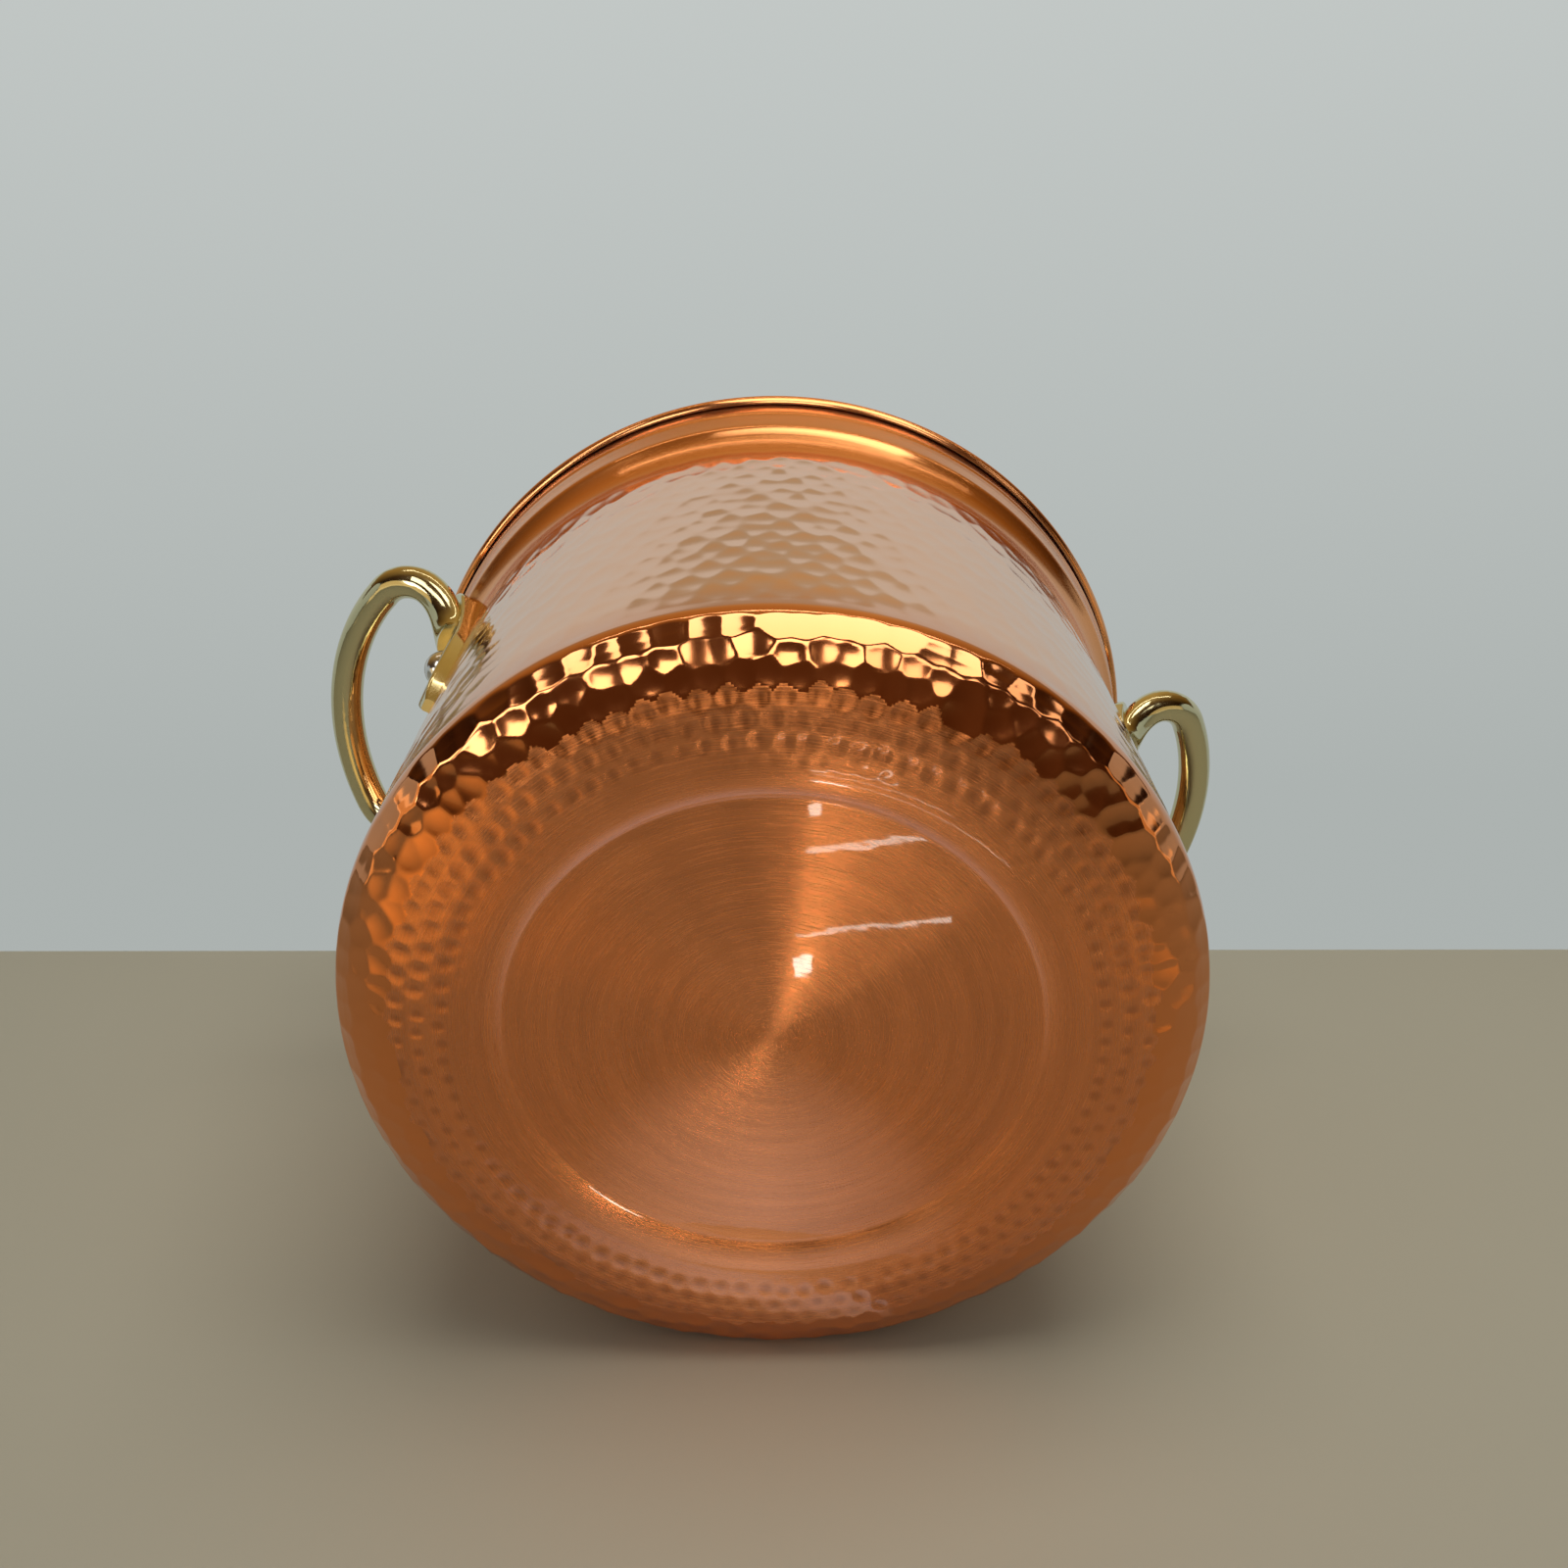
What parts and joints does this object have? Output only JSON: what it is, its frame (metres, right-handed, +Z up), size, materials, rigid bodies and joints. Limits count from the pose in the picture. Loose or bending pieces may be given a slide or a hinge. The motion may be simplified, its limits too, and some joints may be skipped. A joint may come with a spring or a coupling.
{
  "type": "two-handled stew pot",
  "caption": "Deep round hammered copper stew pot with a turned base, tinned inside, a stepped neck under a rolled rim, and a riveted cast brass loop handle on each side.",
  "frame": {"origin": "centre of the base, on the level the pot stands on", "axes": "+Z up along the pot's axis, +X through the middle of handle_right, +Y to the right of that"},
  "size_m": [0.299, 0.2368, 0.179],
  "materials": {
    "copper": "hammered and polished copper",
    "tin": "wiped tin",
    "wire": "drawn",
    "brass": "cast and polished",
    "rivet": "polished"
  },
  "bodies": {
    "root": {"pot_body": "copper", "tin_lining": "tin", "rim_wire": "wire", "handle_left": "brass", "handle_right": "brass", "rivet_left_back": "rivet", "rivet_left_front": "rivet", "rivet_right_back": "rivet", "rivet_right_front": "rivet"}
  },
  "joints": []
}
